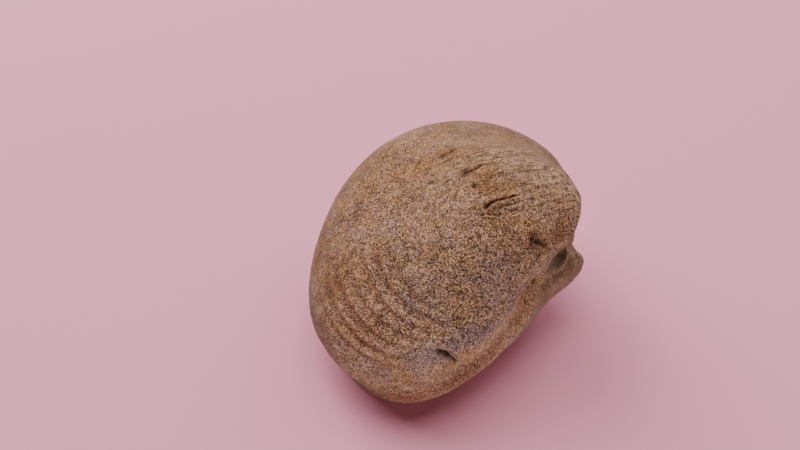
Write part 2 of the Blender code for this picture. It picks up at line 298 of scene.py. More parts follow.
# Wide zones, each toward a bearing in degrees with a reach in radians. Some keep to one valve. Height over
# the seam in millimetres and ring give a centre and a reach, beyond and within a ring and its soft edge.
WIDE_ZONES = (
    # The red wide zone on the near rim paints the pink floor's bounce light and the shade low on the stone.
    {"zone": "red", "toward": (118, 0.75), "height": (-1.1, 1.9), "strength": 1.4},
    {"zone": "seam", "toward": (45, 0.42), "height": (-1.3, 2.0)},
    {"zone": "laminae", "toward": (222, 0.85), "valve": 1, "beyond": (0.50, 0.08)},
    {"zone": "beak", "toward": (75, 1.3), "valve": -1, "beyond": (0.46, 0.07)},
    # The sandy rows lift the tone: partly a paler sandy stone, partly painted light on the lower front
    # faces.
    {"zone": "sandy", "toward": (70, 0.3), "valve": -1, "ring": (0.3, 0.2), "strength": 0.8},
    {"zone": "sandy", "toward": (108, 0.5), "valve": 1, "ring": (0.20, 0.09)},
    {"zone": "sandy", "toward": (235, 0.6), "valve": 1, "within": (0.50, 0.08), "strength": 0.3},
)

# The smooth worn rim reaches up to a ring that climbs past one bearing, and past another it has no limit.
# Each bearing stands with the width of its soft edge.
WORN_LOW_RING = -0.12
WORN_RING_CLIMB = 0.40
WORN_RING_EDGE = 0.07
WORN_START = (math.radians(126), 0.2)
WORN_WHOLE = (math.radians(232), 0.25)

# Depths in millimetres at which the pocket and the cracks have their full colour: painted shade in the
# cracks and pits, and painted shade over a greenish tone in the pocket.
POCKET_FULL_DEPTH = 0.8
CRACK_FULL_SHADE_DEPTH = 0.45
CRACK_SHADE_POWER = 1.4

# ---- Finish of the stone ----

# Tone ramp of the sand: place of each stop and its setting.
TONE_STOPS = ((0.0, "pore_and_shade_color"), (0.16, "dark_color"), (0.5, "stone_color"), (0.96, "light_color"))

# How far each part of the tone swings: grains, mottling by its length in millimetres, fine layers and sandy
# rim, whose lift is partly a paler sandy tone and partly painted light on the lower front faces.
FINE_CONTRAST = 1.0
COARSE_CONTRAST = 0.2
MOTTLING = ((1.5, 0.12), (6.0, 0.16))
LAYER_CONTRAST = 0.42
SANDY_TONE_AND_PAINTED_LIGHT_LIFT = 0.17

# How far the grain fades in each smooth zone.
SMOOTHNESS = {"worn": 0.6, "beak": 0.8, "sandy": 0.3}

# Fine layers: how they are turned, their width in millimetres, how many times longer the streaks are than
# wide, how far their pale ones show, and their height against a grain's.
LAYER_TURN = (0.0, -0.1, 0.33)
LAYER_WIDTH = 0.6
STREAK_LENGTHS = 7.0
PALE_LAYER_BASE = 0.25
PALE_LAYER_SHARE = 0.28
LAYER_HEIGHT = 0.65

# Low and high level of a pattern where its mask begins and is full.
WIDE_LEVELS = (0.3, 0.7)
MIDDLE_LEVELS = (0.4, 0.6)
TINT_LEVELS = (0.45, 0.65)

# Detail and roughness of the noise in the blotches, the fine layers and the pores.
BLOTCH_DETAIL = 3.0
BLOTCH_ROUGHNESS = 0.6
LAYER_DETAIL = 3.0
LAYER_ROUGHNESS = 0.55
PORE_DETAIL = 2.0

# Single grains whose hue lies between two levels lean to a tint, and so do soft blotches of a length.
GRAIN_TINTS = ((0.70, 0.85, "orange_color"), (0.30, 0.15, "grey_color"))
GRAIN_TINT_SHARE = 0.65
BLOTCH_TINTS = ((3.1, "orange_color"), (2.3, "grey_color"))
BLOTCH_TINT_SHARE = 0.35

# Mineral stains by zone: setting of the tint, its share, how much it darkens, and length of its blotches.
# The red row also paints the pink floor's bounce light and shade on the near rim, and the trough row's
# darkening is painted shade.
STAINS = {
    "orange": ("orange_color", 0.7, 0.10, 1.4),
    "brown": ("seam_color", 0.6, 0.38, 1.1),
    # Red stains, and painted floor bounce and shade on the near rim.
    "red": ("red_stain_and_bounce_color", 0.85, 0.18, 1.8),
    "grey": ("grey_color", 0.8, 0.26, 1.2),
    "pale": ("band_color", 0.75, 0.10, 1.0),
    "seam": ("seam_color", 0.55, 0.06, 1.1),
    # Red tint in the trough between growth ridges, darkened as painted shade.
    "trough": ("red_stain_and_bounce_color", 0.45, 0.26, 0.8),
    "beak": ("beak_color", 0.7, 0.0, 2.5),
}
STAIN_BASE = 0.45

# Painted shade in the deep places by zone, over a greenish tone in the pocket: setting of the tint and its
# share.
DEEP_PAINTED_SHADE = {"hollow": ("hollow_tone_and_shade_color", 0.85), "crack": ("crack_shade_color", 0.94)}

# Dark pores a few grains wide: length of their noise in millimetres, its levels, share and depth.
PORE_LENGTH = 0.8
PORE_LEVELS = (0.66, 0.72)
PORE_SHARE = 0.5
PORE_DEPTH = 1.2

# Heights of the coarse grains, and of the grains' own tones, against that of a fine grain.
COARSE_HEIGHT = 0.6
TONE_HEIGHT = 0.5

ROUGHNESS_RANGE = (0.82, 0.96)
STONE_SPECULAR = 0.25
FLOOR_ROUGHNESS = 0.8
FLOOR_SPECULAR = 0.2


def srgb(red, green, blue):
    """Return a display colour, 0 to 255 a channel, as linear light."""
    value = np.array((red, green, blue)) / 255
    linear = np.where(value <= 0.04045, value / 12.92, ((value + 0.055) / 1.055) ** 2.4)
    return tuple(float(channel) for channel in linear)


# ---- Numbers on arrays ----

def step_up(value, width):
    """Return a smooth step from 0 to 1 about zero: half of one plus tanh."""
    return 0.5 + 0.5 * np.tanh(value / width)


def wrapped(angle):
    """Return an angle brought between minus pi and pi."""
    return (angle + math.pi) % (2 * math.pi) - math.pi


def bell(value, centre, reach):
    """Return a bell curve: e to the minus square of the distance from the centre over the reach."""
    return np.exp(-((value - centre) / reach) ** 2)


def tapered(along, rate, least):
    """Return a share that climbs from both ends of a line at a rate, from the least to one."""
    return np.clip(rate * along, least, 1) * np.clip(rate * (1 - along), least, 1)


def lattice_noise(points, seed):
    """Return noise from -1 to 1: hashed values at whole numbers, blended by a smooth cubic step."""
    cell = np.floor(points).astype(np.int64)
    part = points - cell
    blend = part * part * (3 - 2 * part)
    total = np.zeros(points.shape[:-1])
    for corner in np.ndindex(2, 2, 2):
        x, y, z = np.moveaxis(cell + np.array(corner), -1, 0)
        mixed = (x * 73856093) ^ (y * 19349663) ^ (z * 83492791) ^ (seed * 2654435761)
        mixed = (mixed ^ (mixed >> 13)) * 1274126177 & 0xFFFFFFFF
        value = (mixed ^ (mixed >> 16)) & 0xFFFF
        weight = np.prod(np.where(np.array(corner) == 1, blend, 1 - blend), axis=-1)
        total += weight * value / 0xFFFF
    return 2 * total - 1


def layered_noise(points, name):
    """Return a named noise: a sum of layers, each half as long and about half as strong as the last."""
    length, layers, seed = NOISES[name]
    total = np.zeros(points.shape[:-1])
    for layer in range(layers):
        place = points * 2 ** layer / length + NOISE_SHIFT * layer
        total += NOISE_FADE ** layer * lattice_noise(place, seed + layer)
    return total


def distance_to_line(points, line):
    """Return each point's distance to a line of straight stretches, and how far along it lies, 0 to 1."""
    nearest = np.full(points.shape[:-1], np.inf)
    along = np.zeros(points.shape[:-1])
    for i, (start, end) in enumerate(zip(line, line[1:])):
        stretch = end - start
        share = np.clip((points - start) @ stretch / (stretch @ stretch), 0, 1)
        distance = np.linalg.norm(points - start - share[..., None] * stretch, axis=-1)
        closer = distance < nearest
        nearest = np.where(closer, distance, nearest)
        along = np.where(closer, (i + share) / (len(line) - 1), along)
    return nearest, along


# ---- The smooth loft ----

def spline_through(points, start_slope):
    """Return a cubic spline by fraction of chord length, clamped at its start and free at its end."""
    count = len(points)
    stations = np.concatenate(([0.0], np.cumsum(np.linalg.norm(np.diff(points, axis=0), axis=1))))
    step = np.diff(stations)
    slope = np.diff(points, axis=0) / step[:, None]
    system = np.eye(count)
    right = np.zeros_like(points)
    system[0, :2] = 2 * step[0], step[0]
    right[0] = 6 * (slope[0] - start_slope)
    for i in range(1, count - 1):
        system[i, i - 1:i + 2] = step[i - 1], 2 * (step[i - 1] + step[i]), step[i]
        right[i] = 6 * (slope[i] - slope[i - 1])
    bend = np.linalg.solve(system, right)

    def at(fraction):
        place = np.asarray(fraction) * stations[-1]
        i = np.clip(np.searchsorted(stations, place, side="right") - 1, 0, count - 2)
        width = step[i][:, None]
        before = (stations[i + 1] - place)[:, None] / width
        after = (place - stations[i])[:, None] / width
        curve = (before ** 3 - before) * bend[i] + (after ** 3 - after) * bend[i + 1]
        return before * points[i] + after * points[i + 1] + curve * width ** 2 / 6

    return at


def outline_radius(bearing):
    """Return the margin's distance from its centre: a mean and three waves round the ring."""
    radius = np.full_like(bearing, OUTLINE_RADIUS)
    for order, (cosine, sine) in enumerate(OUTLINE_WAVES, start=1):
        radius += cosine * np.cos(order * bearing) + sine * np.sin(order * bearing)
    return radius


def valve_surface(fraction, bearing, side):
    """Return rings of one valve in millimetres.

    Each ring is the margin outline, shrunk and swung up about the hinge, so that its ventral end
    follows the section over the dome and its hinge end follows the inner face of the beak. The
    beak's lean grows with the cube of the ring fraction, and the swells are added last.
    """
    hinge_radius, ventral_radius = outline_radius(np.array((0.0, math.pi)))
    height = hinge_radius + ventral_radius
    section = spline_through(np.vstack(((-height, 0.0), SECTION)), np.array((0.0, 1.0)))
    ventral = section(fraction * BEAK_FRACTION)
    hinge = section(1 - fraction * (1 - BEAK_FRACTION))
    swing = (hinge - ventral) / height
    radius = outline_radius(bearing)
    across = radius * np.sin(bearing)
    down = radius * np.cos(bearing) - hinge_radius
    size = np.linalg.norm(swing, axis=1)
    shift = np.outer(fraction ** 3, UPPER_BEAK_SHIFT if side > 0 else LOWER_BEAK_SHIFT)
    x = shift[:, :1] + size[:, None] * across
    y = shift[:, 1:] + hinge[:, :1] + swing[:, :1] * down
    z = hinge[:, 1:] + swing[:, 1:] * down
    if side < 0:
        z = -z * LOWER_VALVE_DEPTH
    points = np.stack((x, y, z), axis=-1)
    for sides, centre, reach, push in SWELLS.values():
        if side in sides:
            away = (points - np.array(centre)) / np.array(reach)
            points = points + np.exp(-np.sum(away ** 2, axis=-1))[..., None] * np.array(push)
    return points


def fill_waist(ring, bearing, side, points):
    """Move the points between the two lips toward the straight line that joins the lips.

    The share is one inside a flat-topped bell curve of the bearing and falls to a small one elsewhere.
    """
    upper_lip = valve_surface(np.array((LIP_RING,)), bearing, 1)[0]
    lower_lip = valve_surface(np.array((LIP_RING,)), bearing, -1)[0]
    along = 0.5 - 0.5 * side * np.clip(ring / LIP_RING, 0, 1)
    line = upper_lip + (lower_lip - upper_lip) * along[:, None, None]
    window = np.exp(-(wrapped(bearing - FILL_BEARING) / FILL_REACH) ** 4)
    share = (FILL_ELSEWHERE + (1 - FILL_ELSEWHERE) * window)[None, :] * (ring < LIP_RING)[:, None]
    return points + (line - points) * share[..., None]


def on_valve(ring, degrees, side=1):
    """Return one point of a valve, the upper one unless told."""
    return valve_surface(np.array((ring,)), np.radians(np.array((degrees,), float)), side)[0, 0]


def line_on_valve(stations):
    """Return the points of a line on the upper valve."""
    return np.array([on_valve(ring, degrees) for ring, degrees in stations])


def outward(points):
    """Return unit directions away from the middle of the stone."""
    away = points - STONE_MIDDLE
    return away / np.linalg.norm(away, axis=-1, keepdims=True)


# ---- Relief ----

def growth_ridges(ring, bearing, points):
    """Return the growth ridges and how much each point lies in a trough between them, for the red tint and
    painted shade of the trough.

    A cosine of the ring fraction inside a soft window of ring and bearing, uneven along its length.
    """
    t = ring[:, None] + RIDGE_WANDER * layered_noise(points, "ridge line")
    window = step_up(t - RIDGE_START, RIDGE_PITCH / 3) * step_up(RIDGE_END - t, RIDGE_PITCH)
    window = window * np.exp(-np.abs(wrapped(bearing[None, :] - RIDGE_BEARING) / RIDGE_REACH) ** 3)
    strength = 1 + RIDGE_UNEVENNESS * layered_noise(points, "ridge strength")
    wave = np.cos(2 * math.pi * (t - RIDGE_PHASE) / RIDGE_PITCH)
    trough_stain_and_shade = np.clip(window * strength * (0.5 + 0.5 * wave), 0, 1) ** TROUGH_POWER
    return -window * strength * wave, trough_stain_and_shade


def slow_lumps(points):
    """Return slow lumps: the sum of two products of slanting sine waves."""
    x, y, z = np.moveaxis(points / LUMP_LENGTH, -1, 0)
    lumps = np.sin(1.3 * x + 0.7 * y + 0.6) * np.sin(1.1 * z - 1.2 * y + 0.4)
    return lumps + 0.6 * np.sin(1.7 * y + 1.5 * z + 1.1) * np.sin(1.9 * x - 1.2 * z)


def seam_groove(bearing, points):
    """Return the groove between the valves beside the hinge: a bell curve across it and one along it."""
    along = wrapped(bearing[None, :] - SEAM_BEARING)
    return bell(points[..., 2], 0, SEAM_HALF_WIDTH) * bell(along, 0, SEAM_REACH)


def crack_depth(points, upper):
    """Return the depth of all cracks and pits: bell curves across each line, ragged along it."""
    ragged = 1 + CRACK_RAGGEDNESS * layered_noise(points, "crack edge")
    stray = CRACK_STRAY * layered_noise(points, "crack sway")
    depth = np.zeros(points.shape[:-1])
    swayed = points + stray[..., None] * CRACK_SWAY
    for stations, half_width, deepest in CRACKS.values():
        distance, along = distance_to_line(swayed, line_on_valve(stations))
        across = bell(distance * ragged, 0, half_width)
        depth = np.maximum(depth, deepest * tapered(along, CRACK_TAPER, CRACK_TIP) * across)
    depth = depth * upper
    for side, pits in ((1, PITS), (-1, LOWER_PITS)):
        for ring, degrees, radius, deepest in pits:
            distance = np.linalg.norm(points - on_valve(ring, degrees, side), axis=-1)
            depth = np.maximum(depth, deepest * bell(distance * ragged, 0, radius))
    return depth


def lip_height(points, upper):
    """Return the height of the raised lips: bell curves across each line, fading to its ends."""
    height = np.zeros(points.shape[:-1])
    for stations, half_width, highest in LIPS.values():
        distance, along = distance_to_line(points, line_on_valve(stations))
        across = bell(distance, 0, half_width)
        height = np.maximum(height, highest * tapered(along, LIP_TAPER, 0) * across)
    return height * upper


def sink_pocket(points):
    """Push the surface down onto an oval cone beside the hinge, and return it with the depth pushed."""
    axis = POCKET_AXIS / np.linalg.norm(POCKET_AXIS)
    across = np.cross(axis, POCKET_LINE)
    across /= np.linalg.norm(across)
    along = np.cross(across, axis)
    from_centre = points - POCKET_CENTRE
    u = from_centre @ along / POCKET_LENGTH
    v = from_centre @ across / POCKET_WIDTH
    w = from_centre @ axis
    reach = np.hypot(u, v) * (1 + POCKET_RAGGEDNESS * layered_noise(points, "pocket edge"))
    slope = (reach - POCKET_FLOOR) / (1 - POCKET_FLOOR)
    wall = np.clip(slope, 0, 1) * (POCKET_RISE + POCKET_DEPTH) - POCKET_DEPTH
    pushed = np.clip(w - wall, 0, None) * (w < POCKET_RISE) * (slope < 1)
    return points - pushed[..., None] * axis, pushed


def resting_pose():
    """Return the rotation from the shell frame to the stone as it lies."""
    laid = Matrix(((0, 1, 0), (-1, 0, 0), (0, 0, 1)))
    lean = Matrix.Rotation(LEAN_NEAR, 3, "X") @ Matrix.Rotation(LEAN_VENTRAL, 3, "Y")
    return np.array(Matrix.Rotation(TURN, 3, "Z") @ lean @ laid)


def laid_down(points):
    """Return points of the shell frame in the frame of the stone as it rests, in metres."""
    return (points @ resting_pose().T - FLAT_CENTRE) * MM


def worn_flat(points):
    """Return points with everything below the floor level brought up to it, over a short round edge."""
    edge = FLAT_EDGE * MM
    z = points[..., 2]
    rounded = (z + edge) ** 2 / (4 * edge)
    points[..., 2] = np.where(z > edge, z, np.where(z < -edge, 0.0, rounded))
    return points


def near_stations(points, kind, strength, reach, stations):
    """Return a bell curve of the distance to the nearest spot, or to the band through the stations."""
    if kind == "band":
        distance, _ = distance_to_line(points, line_on_valve(stations))
        return strength * bell(distance, 0, reach)
    steps = [(points - centre) / reach for centre in line_on_valve(stations)]
    return strength * np.max([np.exp(-np.sum(step ** 2, axis=-1)) for step in steps], axis=0)


def wide_zone(row, ring, bearing, side, points):
    """Return one wide zone: a bell curve of the bearing times its bells and steps of height and ring."""
    degrees, reach = row["toward"]
    mask = row.get("strength", 1) * bell(wrapped(bearing - math.radians(degrees)), 0, reach)
    if "valve" in row:
        mask = mask * (side == row["valve"])
    if "height" in row:
        mask = mask * bell(points[..., 2], *row["height"])
    if "ring" in row:
        mask = mask * bell(ring, *row["ring"])
    if "beyond" in row:
        limit, edge = row["beyond"]
        mask = mask * step_up(ring - limit, edge)
    if "within" in row:
        limit, edge = row["within"]
        mask = mask * step_up(limit - ring, edge)
    return mask


def color_zones(ring, bearing, side, points):
    """Return the stone's colour zones by name: the strongest of their spots, bands and wide zones."""
    t = ring[:, None]
    b = bearing[None, :]
    valve = side[:, None]
    zones = {}
    for name, rows in SPOTS_AND_BANDS.items():
        bells = [near_stations(points, *row) for row in rows]
        zones[name] = np.minimum(1, sum(bells)) if name == "brown" else np.max(bells, axis=0)
    for row in WIDE_ZONES:
        mask = wide_zone(row, t, b, valve, points)
        zones[row["zone"]] = np.maximum(zones.get(row["zone"], 0), mask)
    zones["rough"] = zones["rough"] * (valve > 0)
    start, start_edge = WORN_START
    whole, whole_edge = WORN_WHOLE
    worn_ring = WORN_LOW_RING + WORN_RING_CLIMB * step_up(b - start, start_edge)
    zones["worn"] = 1 - step_up(t - worn_ring, WORN_RING_EDGE) * step_up(whole - b, whole_edge)
    return zones


def crowded_bearings():
    """Return bearings round a ring, spaced by the inverse of one plus a bell curve over the ridges."""
    even = np.linspace(0, 2 * math.pi, CROWDING_STEPS)
    density = 1 + CROWDING * bell(wrapped(even - CROWDED_BEARING), 0, CROWDED_REACH)
    share = np.concatenate(([0.0], np.cumsum((density[1:] + density[:-1]) / 2)))
    return np.interp(np.arange(SEGMENTS) / SEGMENTS, share / share[-1], even)


def stone_arrays(settings):
    """Return the stone's points in metres, ring by ring from beak to beak, and its colour zones.

    Each point of the smooth loft moves away from the middle of the stone by the sum of the reliefs, less
    the cracks and the inset. The pocket is then sunk, and the stone is laid down on its worn flat.
    """
    bearing = crowded_bearings()
    upper = np.linspace(1.0, 0.0, UPPER_RINGS + 1)
    upper[0] = LAST_RING
    lower = np.linspace(0.0, 1.0, LOWER_RINGS + 1)[1:]
    lower[-1] = LAST_RING
    ring = np.concatenate((upper, lower))
    side = np.concatenate((np.ones(len(upper)), -np.ones(len(lower))))
    smooth = np.concatenate((valve_surface(upper, bearing, 1), valve_surface(lower, bearing, -1)))
    smooth = fill_waist(ring, bearing, side, smooth)
    zones = color_zones(ring, bearing, side, smooth)
    on_upper = side[:, None] > 0
    grooves = crack_depth(smooth, on_upper)
    ridges, trough_stain_and_shade = growth_ridges(ring, bearing, smooth)
    ledges = layered_noise(smooth @ STRETCH, "ledges") - LEDGE_SINK
    relief = (
        settings.ridge_height / MM * ridges * on_upper
        + settings.lump_height / MM * slow_lumps(smooth)
        - settings.seam_depth / MM * seam_groove(bearing, smooth)
        + settings.grit_height / MM * layered_noise(smooth, "grit")
        + settings.rough_height / MM * zones["rough"] * ledges
        + lip_height(smooth, on_upper)
    )
    points = smooth + outward(smooth) * (relief - grooves - SKIN_INSET)[..., None]
    points, pushed = sink_pocket(points)
    # The hollow and crack zones grow with depth and carry painted shade into the pocket, cracks and pits;
    # the trough zone carries a red tint and painted shade.
    zones["hollow"] = np.clip(pushed / POCKET_FULL_DEPTH, 0, 1)
    zones["crack"] = np.clip(grooves / CRACK_FULL_SHADE_DEPTH, 0, 1) ** CRACK_SHADE_POWER
    zones["trough"] = trough_stain_and_shade * on_upper
    return worn_flat(laid_down(points)), zones


def grid_mesh(name, points):
    """Return a closed mesh of a grid of rings, faces outward, with triangles over its two ends."""
    rings, count = points.shape[:2]
    tips = np.stack((points[0].mean(axis=0), points[-1].mean(axis=0)))
    vertices = np.concatenate((points.reshape(-1, 3), tips))
    index = np.arange(rings * count).reshape(rings, count)
    across = np.roll(index, -1, axis=1)
    quads = np.stack((index[:-1], across[:-1], across[1:], index[1:]), axis=-1).reshape(-1)
    first = np.stack((across[0], index[0], np.full(count, rings * count)), axis=-1).reshape(-1)
    last = np.stack((index[-1], across[-1], np.full(count, rings * count + 1)), axis=-1).reshape(-1)
    corners = np.concatenate((quads, first, last))
    sizes = np.concatenate((np.full(len(quads) // 4, 4), np.full(2 * count, 3)))
    mesh = bpy.data.meshes.new(name)
    mesh.vertices.add(len(vertices))
    mesh.vertices.foreach_set("co", vertices.reshape(-1))
    mesh.loops.add(len(corners))
    mesh.loops.foreach_set("vertex_index", corners)
    mesh.polygons.add(len(sizes))
    mesh.polygons.foreach_set("loop_start", np.concatenate(([0], np.cumsum(sizes)[:-1])))
    mesh.update(calc_edges=True)
    mesh.validate()
    mesh.shade_smooth()
    return mesh


def add_zones(mesh, zones):
    """Store each colour zone as a value on the mesh's points."""
    for name, zone in zones.items():
        values = np.concatenate((zone.reshape(-1), (zone[0].mean(), zone[-1].mean())))
        layer = mesh.attributes.new(name, "FLOAT", "POINT")
        layer.data.foreach_set("value", values.astype(np.float32))


# ---- Shader nodes ----

def put(tree, kind, inputs=None, **settings):
    """Add a node, set its properties, and set or link its inputs."""
    node = tree.nodes.new(kind)
    for key, value in settings.items():
        setattr(node, key, value)
    for key, value in (inputs or {}).items():
        socket = node.inputs[key]
        if isinstance(value, bpy.types.NodeSocket):
            tree.links.new(value, socket)
        else:
            socket.default_value = value
    return node


def math_node(tree, operation, first, second, clamp=False):
    """Return the result of a two-input math node."""
    inputs = {0: first, 1: second}
    return put(tree, "ShaderNodeMath", inputs, operation=operation, use_clamp=clamp).outputs[0]


def mix_color(tree, factor, first, second, blend="MIX"):
    """Return the result of mixing two colours. Sockets 6 and 7 of the Mix node are its colours."""
    inputs = {0: factor, 6: first, 7: second}
    return put(tree, "ShaderNodeMix", inputs, data_type="RGBA", blend_type=blend).outputs[2]


def opaque(color):
    """Return a colour setting with full alpha."""
    return (*color, 1)


def new_group(name, inputs, outputs):
    """Return an empty node group with named inputs and outputs."""
    tree = bpy.data.node_groups.new(name, "ShaderNodeTree")
    for label, kind, default in inputs:
        socket = tree.interface.new_socket(name=label, in_out="INPUT", socket_type=kind)
        if default is not None:
            socket.default_value = default
    for label, kind in outputs:
        tree.interface.new_socket(name=label, in_out="OUTPUT", socket_type=kind)
    start = tree.nodes.new("NodeGroupInput")
    end = tree.nodes.new("NodeGroupOutput")
    return tree, start.outputs, end.inputs


def scale_of(tree, length):
    """Return the scale of a pattern whose cells have a length in millimetres."""
    return math_node(tree, "DIVIDE", 1 / MM, length)


def spread_noise(tree, vector, length, given, detail, roughness):
    """Return fractal noise of a length in millimetres, spread between the group's low and high levels."""
    inputs = {"Vector": vector, "Scale": scale_of(tree, length), "Detail": detail, "Roughness": roughness}
    noise = put(tree, "ShaderNodeTexNoise", inputs).outputs["Fac"]
    inputs = {"Value": noise, "From Min": given["Low"], "From Max": given["High"]}
    return put(tree, "ShaderNodeMapRange", inputs).outputs["Result"]


def grain_group():
    """Sand grains: each cell of a Voronoi pattern has its own tone and hue and stands up in its middle."""
    tree, given, result = new_group(
        "sand_grains",
        (("Vector", "NodeSocketVector", None), ("Grain", "NodeSocketFloat", 0.3)),
        (("Tone", "NodeSocketFloat"), ("Hue", "NodeSocketFloat"), ("Height", "NodeSocketFloat")),
    )
    inputs = {"Vector": given["Vector"], "Scale": scale_of(tree, given["Grain"]), "Randomness": 1.0}
    cells = put(tree, "ShaderNodeTexVoronoi", inputs)
    split = put(tree, "ShaderNodeSeparateColor", {"Color": cells.outputs["Color"]})
    tree.links.new(split.outputs[0], result["Tone"])
    tree.links.new(split.outputs[1], result["Hue"])
    height = math_node(tree, "SUBTRACT", 1.0, cells.outputs["Distance"], clamp=True)
    tree.links.new(height, result["Height"])
    return tree


def blotch_group():
    """Blotches: fractal noise of a given length, spread between two levels."""
    tree, given, result = new_group(
        "blotches",
        (
            ("Vector", "NodeSocketVector", None),
            ("Length", "NodeSocketFloat", 3.0),
            ("Low", "NodeSocketFloat", 0.4),
            ("High", "NodeSocketFloat", 0.6),
            ("Detail", "NodeSocketFloat", 3.0),
        ),
        (("Mask", "NodeSocketFloat"),),
    )
    mask = spread_noise(tree, given["Vector"], given["Length"], given, given["Detail"], BLOTCH_ROUGHNESS)
    tree.links.new(mask, result["Mask"])
    return tree


def streak_group():
    """Streaks: noise drawn out along one direction, for the fine layers of the sandstone."""
    tree, given, result = new_group(
        "streaks",
        (
            ("Vector", "NodeSocketVector", None),
            ("Turn", "NodeSocketVector", (0.0, 0.0, 0.0)),
            ("Width", "NodeSocketFloat", 0.5),
            ("Low", "NodeSocketFloat", 0.4),
            ("High", "NodeSocketFloat", 0.6),
        ),
        (("Mask", "NodeSocketFloat"),),
    )
    inputs = {"Vector": given["Vector"], "Rotation": given["Turn"], "Scale": (STREAK_LENGTHS, 1.0, 1.0)}
    turned = put(tree, "ShaderNodeMapping", inputs, vector_type="TEXTURE")
    mask = spread_noise(tree, turned.outputs[0], given["Width"], given, LAYER_DETAIL, LAYER_ROUGHNESS)
    tree.links.new(mask, result["Mask"])
    return tree


def tone_ramp(tree, tone, settings):
    """Return the sand's colour for a tone, from pore to light grain."""
    ramp = put(tree, "ShaderNodeValToRGB", {"Fac": tone})
    stops = ramp.color_ramp.elements
    stops.remove(stops[1])
    for index, (position, setting) in enumerate(TONE_STOPS):
        stop = stops.new(position) if index else stops[0]
        stop.position = position
        stop.color = opaque(getattr(settings, setting))
    return ramp.outputs[0]


